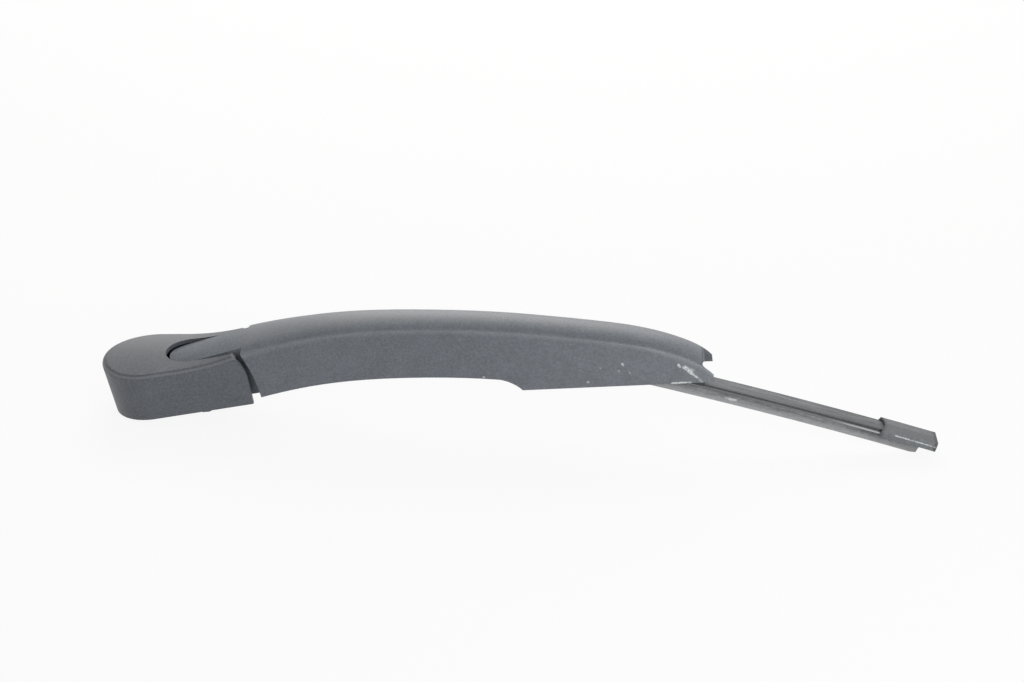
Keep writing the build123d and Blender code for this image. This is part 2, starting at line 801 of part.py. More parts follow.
# Bracket: a saddle riveted on the rails, with two cheeks for the clip
cheek_inside = bracket_half_width - bracket_cheek
bracket_plane = blade_side_plane(0)
with BuildPart() as blade_bracket:
    with BuildSketch(bracket_plane):
        Rectangle(2 * bracket_half_length, strip_height, align=(Align.CENTER, Align.MAX))
        with Locations((0, pivot_height)):
            Circle(bracket_eye_radius)
        Polygon(
            (-bracket_half_length, 0),
            (bracket_half_length, 0),
            (bracket_eye_radius, pivot_height),
            (-bracket_eye_radius, pivot_height),
            align=None,
        )
    extrude(amount=bracket_half_width, both=True)
    with BuildSketch(blade_plane(0)):
        Rectangle(2 * cheek_inside, far, align=(Align.CENTER, Align.MIN))
        with Locations((0, -strip_height)):
            Rectangle(2 * strip_slot_half_width, strip_slot_height, align=(Align.CENTER, Align.MIN))
    extrude(amount=far, both=True, mode=Mode.SUBTRACT)
    with BuildSketch(bracket_plane):
        with Locations((0, pivot_height)):
            Circle(clip_boss_radius + press_gap)
    extrude(amount=far, both=True, mode=Mode.SUBTRACT)
blade_bracket.part.label = "blade_bracket"
export_step(blade_bracket.part, "parts/blade_bracket.step")

# Clip: snaps on the pivot pin through its open mouth, and fills the bracket's cheek holes
with BuildPart() as pivot_clip:
    with BuildSketch(bracket_plane):
        with Locations((0, press_gap)):
            Rectangle(2 * clip_half_length, clip_block_height, align=(Align.CENTER, Align.MIN))
        with Locations((0, pivot_height)):
            Circle(bracket_eye_radius)
        with Locations((0, clip_block_height)):
            Rectangle(2 * clip_boss_radius, pivot_height, align=(Align.CENTER, Align.CENTER))
    extrude(amount=cheek_inside - press_gap, both=True)
    with BuildSketch(bracket_plane):
        with Locations((0, pivot_height)):
            Circle(clip_boss_radius)
    extrude(amount=bracket_half_width, both=True)
    with BuildSketch(bracket_plane):
        with Locations((0, pivot_height)):
            Circle(pivot_pin_radius + running_gap)
            Rectangle(clip_mouth, far, align=(Align.CENTER, Align.MIN))
    extrude(amount=far, both=True, mode=Mode.SUBTRACT)
pivot_clip.part.label = "pivot_clip"
export_step(pivot_clip.part, "parts/pivot_clip.step")
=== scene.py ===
"""Looks of a rear wiper arm with its blade fitted, laid out as a sidebar add-on."""

import json
from math import atan2, cos, hypot, pi, radians, sin

import bpy
from mathutils import Matrix, Vector


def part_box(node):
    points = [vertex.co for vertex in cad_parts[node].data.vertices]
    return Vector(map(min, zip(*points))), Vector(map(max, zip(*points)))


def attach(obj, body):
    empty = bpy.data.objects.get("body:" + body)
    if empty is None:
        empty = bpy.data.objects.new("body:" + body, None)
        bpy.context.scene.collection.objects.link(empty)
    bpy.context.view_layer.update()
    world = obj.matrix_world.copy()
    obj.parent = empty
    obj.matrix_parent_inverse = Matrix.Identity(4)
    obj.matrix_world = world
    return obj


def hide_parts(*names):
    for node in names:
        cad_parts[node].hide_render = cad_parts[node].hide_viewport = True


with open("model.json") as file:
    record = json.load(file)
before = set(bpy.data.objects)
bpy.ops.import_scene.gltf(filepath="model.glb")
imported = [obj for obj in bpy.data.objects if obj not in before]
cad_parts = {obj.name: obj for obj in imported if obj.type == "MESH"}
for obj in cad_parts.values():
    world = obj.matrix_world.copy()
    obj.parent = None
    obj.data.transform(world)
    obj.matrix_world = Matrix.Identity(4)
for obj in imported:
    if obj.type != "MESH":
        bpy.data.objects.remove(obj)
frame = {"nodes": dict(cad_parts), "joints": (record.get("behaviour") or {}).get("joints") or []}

bl_info = {
    "name": "Wiper arm looks",
    "version": (1, 0, 0),
    "blender": (4, 5, 0),
    "location": "View3D > Sidebar > Wiper arm",
    "description": "Finishes, coil spring and studio stage of a rear wiper arm",
    "category": "Object",
}

NODES = frame["nodes"]
JOINTS = {joint["name"]: joint for joint in frame["joints"]}
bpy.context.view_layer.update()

# The blade's line: its pivot, its slope, how far it lies under the pivot and the radius of its bow
BLADE_PIVOT = Vector(JOINTS["blade_pivot"]["pos_m"])
BLADE_PITCH = radians(21.5)
BLADE_PIVOT_HEIGHT = 0.006
BLADE_BOW = 2.5

# The arm's crease, where its walls meet its roof: (x, z) in metres
ARM_CREASE = (
    (0.0060, 0.0207), (0.0300, 0.0239), (0.0486, 0.0270), (0.0773, 0.0303), (0.0972, 0.0310),
    (0.1347, 0.0284), (0.1723, 0.0230), (0.2098, 0.0152), (0.2407, 0.0068), (0.2551, 0.0005),
    (0.2639, -0.0050), (0.2716, -0.0142),
)
# The length, lowest height and rise that the crease's curve covers between 0 and 1
CREASE_SPAN = 0.28
CREASE_FOOT = -0.02
CREASE_RISE = 0.06

# Scratches on near walls, and the end cap's painted highlight line: start and end (x, z) in metres,
# half width, strength
ARM_SCRATCHES = (
    ((0.2562, -0.0047), (0.2592, -0.0080), 0.0013, 1.9),
    ((0.2588, -0.0077), (0.2614, -0.0106), 0.0008, 1.2),
    ((0.2576, -0.0052), (0.2600, -0.0068), 0.0009, 0.6),
    ((0.2535, -0.0030), (0.2540, -0.0042), 0.0009, 1.1),
    ((0.2618, -0.0110), (0.2636, -0.0134), 0.0009, 0.5),
    ((0.2497, -0.0127), (0.2560, -0.0131), 0.0008, 2.4),
    ((0.2560, -0.0131), (0.2585, -0.0132), 0.0007, 0.9),
    ((0.2272, 0.0004), (0.2277, -0.0004), 0.0008, 0.9),
    ((0.2250, -0.0030), (0.2253, -0.0033), 0.0007, 0.4),
    ((0.2300, -0.0044), (0.2303, -0.0050), 0.0007, 0.4),
    ((0.2165, -0.0007), (0.2168, -0.0009), 0.0006, 0.4),
    ((0.2099, -0.0076), (0.2101, -0.0077), 0.0008, 1.0),
    ((0.1611, 0.0004), (0.1613, 0.0004), 0.0007, 0.9),
)
# A painted highlight along the end cap's near edge, drawn like a scratch
END_CAP_HIGHLIGHT_LINE = (((0.3530, -0.0557), (0.3718, -0.0643), 0.00045, 1.0),)
RUBBER_SCRATCHES = (
    ((0.2742, -0.0287), (0.2757, -0.0292), 0.0013, 2.4),
    ((0.2760, -0.0295), (0.2784, -0.0303), 0.0011, 3.0),
)
# Share of a scratch's half width at full strength, and its least strength where it is ragged
SCRATCH_CORE = 0.35
SCRATCH_FLOOR = 0.12

# Soft steps on the cover and the arm, in metres: where a mask starts and where it is full; all after
# NEAR_WALL place painted light
NEAR_WALL = (0.0, -0.004)
# The far half of the cover's top, painted lighter
COVER_LIT_HALF = (-0.008, 0.021)
# The roof's far part near the head, painted lighter
ROOF_LIGHT_OUTER = (0.25, 0.08)
ROOF_LIGHT_INNER = (0.035, 0.055)
ROOF_LIGHT_SIDE = (-0.012, -0.005)
# The walls, painted paler towards the tip
WALL_LIGHT_RAMP = (0.13, 0.25)
# A band under the crease with a painted highlight
CREASE_BAND_LOW = (0.0028, 0.0004)
CREASE_BAND_HIGH = (-0.0009, -0.0002)
# The tip's near facet with a painted highlight
TIP_PATCH = (-0.0006, 0.0012)
TIP_WALL = (-0.0095, -0.0101)
# Where the tip's painted highlight starts: x at height 0, then its change with height and height
# squared
TIP_EDGE = (0.2503, -1.45, -35.0)
# Shares of the painted light on the roof's far part, of the painted light on the walls and of the even
# part of the tip's painted highlight
ROOF_LIGHT_SHARE = 0.55
WALL_LIGHT_SHARE = 0.5
TIP_FLOOR = 0.35

# Soft steps on the blade, in metres: heights over its line, then places across and along it
# Painted light in the groove: on the strips, then on the rails' top
STRIP_GROOVE = (-0.00045, -0.0008)
RAIL_GROOVE_LIGHT = (-0.0016, -0.0014)
# Painted shade on the rubber's shoulder
RUBBER_SHOULDER = (-0.0048, -0.0042)
# Painted light from the floor, down to the rubber's lip
RUBBER_LIP = (-0.0042, -0.009)
# Painted shade along the strips' brim
STRIP_BRIM = (0.0028, 0.004)
# Painted shade on the near half of the blade's top
NEAR_HALF = (0.0016, -0.0012)
OUTER_STRETCH = (0.315, 0.341)
# Painted highlight on the rails by the outer end cap
RAIL_GLINT = (0.318, 0.338)
# Painted shadow in the end cap's mouth, then a darker rim round its outer end
MOUTH_SHADE = (0.0018, 0.0008)
OUTER_END_DARKENING = (-0.0022, -0.001)
# The end cap's mouth is hollowed: the depth of the hollow and half its width
MOUTH_DEPTH = 0.0019
MOUTH_HALF_WIDTH = 0.0059
# How dark the painted shade is on the near half of strips and caps, along the strips' brim and on the
# rubber's shoulder
STRIP_NEAR_SHADE = 0.46
CAP_NEAR_SHADE = 0.45
BRIM_SHADE = 0.4
SHOULDER_SHADE = 0.12
SHOULDER_END_SHADE = 0.5

# How squarely a face looks along an axis, from 0 to 1: limits of its masks, and their softness
COVER_TOP_FACE = (0.75, 0.95)
COVER_EDGE = (0.45, 0.8)
ARM_WALL_FACE = (0.6, 0.9)
ARM_EDGE = (0.62, 0.96)
BLADE_TOP_FACE = (0.75, 0.45)
EDGE_SOFTNESS = 0.06

# Limits that set a noise's contrast
SOFT_CONTRAST = (0.28, 0.72)
MIDDLE_CONTRAST = (0.3, 0.7)
STRONG_CONTRAST = (0.34, 0.66)
SPECKS_ONLY = (0.66, 0.78)
RAGGED = (0.36, 0.6)
PATCHY = (0.35, 0.6)

# Patches to a metre in a noise
TIP_MOTTLE = 1500.0
SCRATCH_GRAIN = 1300.0
RUBBER_BLOOM = 600.0
RUBBER_CLOUD = 300.0
METAL_CLOUD = 180.0

# Lines to a metre along the blade and across it
STRIP_LINES = (60.0, 800.0)
RUBBER_LINES = (60.0, 700.0)
RAIL_LINES = (30.0, 2500.0)

# Marks to a metre along each axis of a metal, and the depth of any relief in metres
EVEN_MARKS = (900.0, 900.0, 900.0)
TURNED_MARKS = (2400.0, 60.0, 2400.0)
PRESSED_MARKS = (900.0, 60.0, 900.0)
WIRE_MARKS = (700.0, 700.0, 700.0)
RELIEF_DEPTH = 0.0001

# Steps to a turn of the coil and to an end hook, and sides of the wire
COIL_STEPS = 24
HOOK_STEPS = 14
WIRE_SIDES = 12

# The stage: half the floor's width, its colours, where the ceiling dims, and the camera
FLOOR_HALF = 4.0
PAPER = (0.86, 0.86, 0.86, 1.0)
WHITE = (1.0, 1.0, 1.0, 1.0)
CEILING_FADE = (0.15, 0.8)
SENSOR_WIDTH = 36.0
NEAR_CLIP = 0.01


# Shader maths


class Shade:
    """An output socket of a node tree; arithmetic on it adds Math nodes."""

    def __init__(self, tree, socket=None):
        self.tree = tree
        self.socket = socket

    def node(self, kind, settings=None, inputs=None, output=0):
        """Add any node: its settings first, then its sockets' values or links."""
        made = self.tree.nodes.new(kind)
        for name, value in (settings or {}).items():
            if name == "line":
                self.draw_line(made.mapping, value)
            else:
                setattr(made, name, value)
        for name, value in (inputs or {}).items():
            self.feed(made.inputs[name], value)
        return Shade(self.tree, made.outputs[output])

    def draw_line(self, mapping, points):
        """Lay a curve's line through points between 0 and 1."""
        line = mapping.curves[0].points
        line[0].location = points[0]
        line[1].location = points[-1]
        for place in points[1:-1]:
            line.new(*place)
        mapping.update()

    def feed(self, socket, value):
        """Link a socket, or set its value."""
        if isinstance(value, Shade):
            self.tree.links.new(value.socket, socket)
        else:
            socket.default_value = value

    def maths(self, operation, *values, clamp=False):
        """Add a Math node on this and other values."""
        inputs = dict(enumerate((self, *values)))
        return self.node("ShaderNodeMath", {"operation": operation, "use_clamp": clamp}, inputs)

    def __add__(self, other):
        return self.maths("ADD", other)

    __radd__ = __add__

    def __sub__(self, other):
        return self.maths("SUBTRACT", other)

    def __rsub__(self, other):
        flipped = self.maths("MULTIPLY", -1.0)
        return flipped.maths("ADD", other)

    def __mul__(self, other):
        return self.maths("MULTIPLY", other)

    def __truediv__(self, other):
        return self.maths("DIVIDE", other)

    def clamped(self):
        """This value, held between 0 and 1."""
        return self.maths("ADD", 0.0, clamp=True)

    def smooth(self, low, high):
        """A soft step from 0 at low to 1 at high, either way round."""
        return self.node(
            "ShaderNodeMapRange",
            {"interpolation_type": "SMOOTHSTEP"},
            {"Value": self, "From Min": low, "From Max": high, "To Min": 0.0, "To Max": 1.0},
        )

    def noise(self, scale, detail=2.0, roughness=0.5, stretch=None, turn=(0.0, 0.0, 0.0)):
        """Noise on this vector; turn lays the axes along the work, and stretch then scales them."""
        vector = self
        if stretch:
            vector = self.node(
                "ShaderNodeMapping",
                {"vector_type": "TEXTURE"},
                {"Vector": self, "Rotation": turn, "Scale": [1.0 / way for way in stretch]},
            )
        settings = {"noise_dimensions": "3D"}
        values = {"Vector": vector, "Scale": scale, "Detail": detail, "Roughness": roughness}
        return self.node("ShaderNodeTexNoise", settings, values, "Fac")

    def blend(self, first, second):
        """Colour between two, by this mask."""
        return self.node(
            "ShaderNodeMix",
            {"data_type": "RGBA"},
            {0: self, 6: first, 7: second},
            output=2,
        )

    def split(self):
        """The three parts of this vector."""
        return [self.node("ShaderNodeSeparateXYZ", None, {"Vector": self}, axis) for axis in "XYZ"]


def from_srgb(*levels):
    """Linear colour from screen levels of 0 to 255."""
    linear = []
    for level in levels:
        share = level / 255
        linear.append(share / 12.92 if share <= 0.04045 else ((share + 0.055) / 1.055) ** 2.4)
    return (*linear, 1.0)


def new_material(name):
    """Empty material with its surface shader: the material, a starting Shade and the shader node."""
    material = bpy.data.materials.new(name)
    material.use_nodes = True
    tree = material.node_tree
    return material, Shade(tree), tree.nodes["Principled BSDF"]


def object_coords(shade):
    """Object coordinates, in metres."""
    return shade.node("ShaderNodeTexCoord", output="Object")


def add_relief(shade, surface, strength, height):
    """Bump a surface by a height between 0 and 1."""
    values = {"Strength": strength, "Distance": RELIEF_DEPTH, "Height": height}
    shade.feed(surface.inputs["Normal"], shade.node("ShaderNodeBump", None, values, "Normal"))


def streak(coords, start, end, width):
    """Mask of a line between two places (x, z) on the near wall, softened over its width; it draws
    scratches and the end cap's painted highlight.
    """
    x, y, z = coords.split()
    run = (end[0] - start[0], end[1] - start[1])
    square = hypot(*run) ** 2
    along = ((x - start[0]) * (run[0] / square) + (z - start[1]) * (run[1] / square)).clamped()
    off_x = x - start[0] - along * run[0]
    off_z = z - start[1] - along * run[1]
    distance = (off_x * off_x + off_z * off_z).maths("SQRT")
    return distance.smooth(width, width * SCRATCH_CORE) * y.smooth(*NEAR_WALL)


# Finishes


def blade_place(x, z):
    """Way along the blade from its pivot and height over its bowed line, for numbers or masks."""
    line = BLADE_PIVOT - Vector((sin(BLADE_PITCH), 0.0, cos(BLADE_PITCH))) * BLADE_PIVOT_HEIGHT
    off_x, off_z = x - line.x, z - line.z
    along = off_x * cos(BLADE_PITCH) - off_z * sin(BLADE_PITCH)
    height = off_x * sin(BLADE_PITCH) + off_z * cos(BLADE_PITCH) + along * along / (2 * BLADE_BOW)
    return along, height


def blade_height(coords):
    """Height over the blade's bowed line, in metres."""
    x, _, z = coords.split()
    return blade_place(x, z)[1]


def blade_span(node):
    """Where a node starts and ends along the blade."""
    ways = [blade_place(vertex.co.x, vertex.co.z)[0] for vertex in NODES[node].data.vertices]
    return min(ways), max(ways)


def blade_lines(coords, along, across, roughness=0.6):
    """Fine lines that run along the blade: how many to a metre along it and across it."""
    return coords.noise(1.0, 3.0, roughness, (along, across, across), (0.0, BLADE_PITCH, 0.0))


def crease_height(x):
    """Height of the arm's crease at x, by a curve through its sections."""
    points = [(a / CREASE_SPAN, (b - CREASE_FOOT) / CREASE_RISE) for a, b in ARM_CREASE]
    line = x.node("ShaderNodeFloatCurve", {"line": points}, {"Value": x / CREASE_SPAN})
    return line * CREASE_RISE + CREASE_FOOT


def tones(colour, spread):
    """A darker and a lighter neighbour of a colour."""
    darker = [level * (1 - spread) for level in colour[:3]] + [1.0]
    lighter = [min(1.0, level * (1 + spread)) for level in colour[:3]] + [1.0]
    return darker, lighter


def lean_to(shade, axis):
    """How squarely a surface faces along an axis, either way."""
    return shade.node("ShaderNodeNewGeometry", output="Normal").split()[axis].maths("ABSOLUTE")


def rounded_edges(shade, axis, low, high):
    """Mask of the rounded edges, where the surface's normal turns from one face to the next."""
    lean = lean_to(shade, axis)
    rising = lean.smooth(low - 2 * EDGE_SOFTNESS, low + EDGE_SOFTNESS)
    return rising * lean.smooth(high + EDGE_SOFTNESS, high - EDGE_SOFTNESS)


def cover_painted_light(shade, coords):
    """Painted light on the cover: the far half of its top painted lighter, and a painted highlight
    along its rounded edge.
    """
    looks = bpy.context.scene.wiper_finish
    y = coords.split()[1]
    # Painted light: the far half of the top lighter
    painted_lit = lean_to(shade, 2).smooth(*COVER_TOP_FACE) * y.smooth(*COVER_LIT_HALF)
    # Painted highlight along the rounded edge
    highlit = rounded_edges(shade, 2, *COVER_EDGE)
    return (
        (painted_lit * looks.top_light_strength, looks.dust_and_light_colour),
        (highlit * looks.edge_highlight_strength, looks.scuff_and_highlight_colour),
    )


def arm_painted_light(shade, coords):
    """Painted light on the arm: the roof's far part lighter near the head, the walls paler towards the
    tip, painted highlights along the crease and the rounded edges, and a mottled painted highlight on
    the tip's near facet.
    """
    looks = bpy.context.scene.wiper_finish
    x, y, z = coords.split()
    wall = lean_to(shade, 1).smooth(*ARM_WALL_FACE)
    # Painted light: the roof's far part lighter near the head
    painted_lit = (1.0 - wall) * x.smooth(*ROOF_LIGHT_OUTER) * x.smooth(*ROOF_LIGHT_INNER)
    painted_lit = painted_lit * y.smooth(*ROOF_LIGHT_SIDE)
    # Painted light: the walls paler towards the tip
    lit_walls = wall * x.smooth(*WALL_LIGHT_RAMP)
    # Painted highlight in a band under the crease and along the rounded edges
    below = crease_height(x) - z
    band = below.smooth(*CREASE_BAND_LOW) * below.smooth(*CREASE_BAND_HIGH) * looks.band_strength
    edges = rounded_edges(shade, 1, *ARM_EDGE) * looks.edge_highlight_strength
    # Painted highlight on the tip's near facet, mottled
    start, slope, square = TIP_EDGE
    past_edge = x - (start + z * slope + z * z * square)
    tip = past_edge.smooth(*TIP_PATCH) * y.smooth(*TIP_WALL)
    mottle = coords.noise(TIP_MOTTLE, 3.0, 0.7).smooth(*MIDDLE_CONTRAST)
    lighted = tip * (TIP_FLOOR + mottle * (1 - TIP_FLOOR))
    return (
        (painted_lit * (looks.top_light_strength * ROOF_LIGHT_SHARE), looks.dust_and_light_colour),
        (lit_walls * (looks.wall_light_strength * WALL_LIGHT_SHARE), looks.scuff_and_highlight_colour),
        (edges.maths("MAXIMUM", band), looks.scuff_and_highlight_colour),
        (lighted * looks.wall_light_strength, looks.scuff_and_highlight_colour),
    )


def near_half(shade, coords):
    """Mask of the near half of the blade's top, where shade is painted."""
    return coords.split()[1].smooth(*NEAR_HALF) * lean_to(shade, 1).smooth(*BLADE_TOP_FACE)


def by_the_end(coords):
    """Mask of the blade's last stretch before its outer end cap."""
    return coords.split()[0].smooth(*OUTER_STRETCH)


def end_cap_painted_shade(shade, coords):
    """Painted shade on the near half of the top and in the gap at the mouth, and a darker rim round
    the outer end.
    """
    looks = bpy.context.scene.wiper_finish
    x, y, z = coords.split()
    along = blade_place(x, z)[0]
    mouth, tip = blade_span("end_cap_outer")
    hollow = MOUTH_DEPTH - y * y * (MOUTH_DEPTH / MOUTH_HALF_WIDTH**2)
    # Painted shadow in the gap at the mouth, and a darker rim round the outer end
    rim = (along - mouth - hollow).smooth(*MOUTH_SHADE)
    end = (along - tip).smooth(*OUTER_END_DARKENING)
    return (
        (near_half(shade, coords) * CAP_NEAR_SHADE, looks.shade_paint_colour),
        ((rim + end).clamped() * looks.shade_paint_strength, looks.shade_paint_colour),
    )


def moulded_plastic(name, colour, scratches_and_glints=(), films=None):
    """Fine-grained satin moulding with dust specks, layers of painted light and shade if it has any,
    and its scratches and painted highlight lines.
    """
    material, shade, surface = new_material(name)
    coords = object_coords(shade)
    looks = bpy.context.scene.wiper_finish
    grain = coords.noise(looks.grain_scale, 3.0, 0.65)
    cloud = coords.noise(looks.cloud_scale, 2.0, 0.5)
    dust = coords.noise(looks.dust_scale, 2.0, 0.7).smooth(*SPECKS_ONLY)
    grained = (cloud * 0.2 + grain * 0.8).smooth(*SOFT_CONTRAST)
    tone = grained.blend(*tones(colour, looks.grain_spread))
    tone = (dust * looks.dust_strength).blend(tone, looks.dust_and_light_colour)
    rough = looks.moulding_gloss + cloud * 0.06 + grain * 0.12
    # Layers of painted light and shade over the tone
    for mask, film_colour in films(shade, coords) if films else ():
        tone = mask.blend(tone, film_colour)
    ragged = coords.noise(SCRATCH_GRAIN, 3.0, 0.75).smooth(*RAGGED) if scratches_and_glints else None
    # Scratches, and on the end cap a painted highlight line drawn like one
    for start, end, width, strength in scratches_and_glints:
        broken = SCRATCH_FLOOR + ragged * (1 - SCRATCH_FLOOR)
        mark = streak(coords, start, end, width) * broken * strength
        tone = mark.blend(tone, looks.scuff_and_highlight_colour)
        rough = rough + mark * 0.2
    shade.feed(surface.inputs["Base Color"], tone)
    shade.feed(surface.inputs["Roughness"], rough)
    add_relief(shade, surface, looks.grain_bump, grain)
    return material


def streaked_plastic(name, colour):
    """Satin moulding with fine streaks along the blade, painted light in its groove, and painted shade
    on its near half and along its brim.
    """
    material, shade, surface = new_material(name)
    coords = object_coords(shade)
    looks = bpy.context.scene.wiper_finish
    lines = blade_lines(coords, *STRIP_LINES, 0.65)
    grain = coords.noise(looks.grain_scale, 2.0, 0.6)
    streaked = (lines * 0.8 + grain * 0.2).smooth(*STRONG_CONTRAST)
    tone = streaked.blend(*tones(colour, looks.streak_spread))
    # Painted shade on the near half of the top
    tone = (near_half(shade, coords) * STRIP_NEAR_SHADE).blend(tone, looks.shade_paint_colour)
    # Painted light in the groove, lighter than its shade
    groove = blade_height(coords).smooth(*STRIP_GROOVE)
    tone = groove.blend(tone, looks.groove_light_colour)
    # Painted shade along the brim, stronger by the outer end
    brim = coords.split()[1].maths("ABSOLUTE").smooth(*STRIP_BRIM)
    brim_shade = brim * (BRIM_SHADE + by_the_end(coords) * (1 - BRIM_SHADE)) * looks.shade_paint_strength
    tone = brim_shade.blend(tone, looks.shade_paint_colour)
    shade.feed(surface.inputs["Base Color"], tone)
    shade.feed(surface.inputs["Roughness"], 0.42 + lines * 0.2)
    add_relief(shade, surface, 0.15, lines)
    return material


def worked_metal(name, colour, stretch, roughness, contrast):
    """Metal with working marks: stretched noise, or an even cast skin where stretch is equal."""
    material, shade, surface = new_material(name)
    coords = object_coords(shade)
    marks = coords.noise(1.0, 3.0, 0.6, stretch)
    cloud = coords.noise(METAL_CLOUD, 2.0, 0.5)
    darker = tones(colour, contrast)[0]
    tone = (marks * 0.6 + cloud * 0.4).smooth(*MIDDLE_CONTRAST).blend(darker, colour)
    shade.feed(surface.inputs["Base Color"], tone)
    surface.inputs["Metallic"].default_value = 1.0
    shade.feed(surface.inputs["Roughness"], roughness + marks * 0.18)
    add_relief(shade, surface, 0.12, marks)
    return material


def dull_rubber(name, colour, lip_light_colour):
    """Matt rubber with faint bloom, painted shade on its shoulder, and painted light from the floor
    paler towards its wiping edge.
    """
    material, shade, surface = new_material(name)
    coords = object_coords(shade)
    looks = bpy.context.scene.wiper_finish
    bloom = coords.noise(RUBBER_BLOOM, 3.0, 0.65)
    cloud = coords.noise(RUBBER_CLOUD, 2.0, 0.5).smooth(*PATCHY)
    lines = blade_lines(coords, *RUBBER_LINES)
    height = blade_height(coords)
    streaked = (bloom * 0.4 + lines * 0.6).smooth(*STRONG_CONTRAST)
    tone = streaked.blend(*tones(colour, looks.streak_spread))
    # Painted shade on the rubber's shoulder, stronger by the outer end
    shading = SHOULDER_SHADE + by_the_end(coords) * SHOULDER_END_SHADE
    tone = (height.smooth(*RUBBER_SHOULDER) * shading).blend(tone, looks.shade_paint_colour)
    # Painted light from the floor, paler towards the wiping edge
    floor_lit = height.smooth(*RUBBER_LIP) * (0.4 + bloom * 0.9)
    tone = floor_lit.clamped().blend(tone, lip_light_colour)
    for start, end, width, strength in RUBBER_SCRATCHES:
        mark = streak(coords, start, end, width) * (0.5 + cloud * 0.5) * strength
        tone = mark.clamped().blend(tone, looks.scuff_and_highlight_colour)
    shade.feed(surface.inputs["Base Color"], tone)
    shade.feed(surface.inputs["Roughness"], 0.55 + bloom * 0.2)
    return material


def rail_steel(name, colour, glint_colour):
    """Dull spring steel with drawing lines, painted light on its top in the groove, and a painted
    highlight by the outer end cap.
    """
    material, shade, surface = new_material(name)
    coords = object_coords(shade)
    lines = blade_lines(coords, *RAIL_LINES)
    # Painted highlight on the rails by the outer end cap
    glint = coords.split()[0].smooth(*RAIL_GLINT) * (0.5 + lines)
    tone = lines.smooth(*MIDDLE_CONTRAST).blend(*tones(colour, 0.15))
    tone = glint.clamped().blend(tone, glint_colour)
    # Painted light on the rails' top in the groove, where they are also not metallic
    painted_lit = blade_height(coords).smooth(*RAIL_GROOVE_LIGHT)
    groove_light_colour = bpy.context.scene.wiper_finish.groove_light_colour
    shade.feed(surface.inputs["Base Color"], painted_lit.blend(tone, groove_light_colour))
    shade.feed(surface.inputs["Metallic"], 1.0 - painted_lit)
    shade.feed(surface.inputs["Roughness"], 0.42 + lines * 0.18 + painted_lit * 0.3)
    return material


def paint(nodes, material):
    """Give CAD nodes a finish."""
    for name in nodes:
        slots = NODES[name].data.materials
        slots.clear()
        slots.append(material)


# Settings

SHARE = {"subtype": "FACTOR", "min": 0.0, "max": 1.0}
LENGTH = {"unit": "LENGTH"}
POWER = {"unit": "POWER"}
ANGLE = {"subtype": "ANGLE"}


def number(name, description, default, **kind):
    """A number that the panel shows."""
    return bpy.props.FloatProperty(name=name, description=description, default=default, **kind)


def swatch(name, description, *levels):
    """A colour that the panel shows, from screen levels."""
    return bpy.props.FloatVectorProperty(
        name=name, description=description, default=from_srgb(*levels), subtype="COLOR", size=4
    )


class WiperFinish(bpy.types.PropertyGroup):
    """Colours, grain and wear of the finishes, and the colours and strengths of their painted light
    and shade.
    """

    cover_colour: swatch("Head cover", "Colour of the head cover", 100, 104, 110)
    arm_colour: swatch("Arm", "Colour of the arm", 110, 115, 122)
    strip_colour: swatch("Blade", "Colour of the blade's strips", 112, 114, 117)
    end_cap_colour: swatch("End caps", "Colour of the blade's end caps", 116, 119, 122)
    rail_colour: swatch("Rails", "Colour of the blade's steel rails", 116, 117, 119)
    # Painted highlight on the rails by the outer end cap
    glint_colour: swatch("Bare steel", "Colour of the rails where they are bright", 186, 187, 189)
    rubber_colour: swatch("Rubber", "Colour of the wiping rubber", 137, 138, 140)
    # Painted light from the floor on the rubber's lower part
    rubber_lip_light_colour: swatch("Wiping edge", "Colour of the rubber's wiping edge", 174, 175, 176)
    # Scratches, and the painted highlights on edges, crease, walls, tip and end cap
    scuff_and_highlight_colour: swatch("Scuffs", "Colour of scratched or polished plastic", 226, 228, 230)
    # Painted light in the blade's groove
    groove_light_colour: swatch("Groove", "Colour of the dust in the blade's long groove", 140, 141, 142)
    # Dust specks, and the painted light on the far parts of the cover's and the roof's tops
    dust_and_light_colour: swatch("Dust", "Colour of the dust's specks and films", 150, 152, 155)
    # Painted shade on the blade, its end caps and rubber, and the darker rim round the end caps' outer
    # end
    shade_paint_colour: swatch("Soil", "Colour of the soil on the blade", 70, 72, 74)
    shade_paint_strength: number("Soil strength", "How dark the blade's soil is", 0.75, **SHARE)
    # Painted light on the far parts of the cover's and the roof's tops
    top_light_strength: number("Dust film", "How much the dust on the tops covers", 0.5, **SHARE)
    # Painted highlight under the arm's crease
    band_strength: number("Crease band", "How pale the walls are at the crease", 0.085, **SHARE)
    dust_strength: number("Dust strength", "How much the dust specks cover", 0.3, **SHARE)
    # Painted light on the arm's walls and its tip
    wall_light_strength: number("Rubbed parts", "How pale the arm's rubbed parts are", 0.08, **SHARE)
    # Painted highlight on rounded edges
    edge_highlight_strength: number("Polished edges", "How pale the rounded edges are", 0.14, **SHARE)
    moulding_gloss: number("Moulding roughness", "Lowest roughness of the mouldings", 0.4, **SHARE)
    grain_spread: number("Grain contrast", "How far the mouldings' tone varies", 0.26, **SHARE)
    streak_spread: number("Streak contrast", "How far the blade's tone varies", 0.46, **SHARE)
    grain_bump: number("Grain depth", "Strength of the grain's relief", 0.25, **SHARE)
    grain_scale: number("Grain", "Grains to a metre in the moulded texture", 1000.0)
    cloud_scale: number("Unevenness", "Patches to a metre in the tone", 110.0)
    dust_scale: number("Dust specks", "Specks to a metre", 420.0)


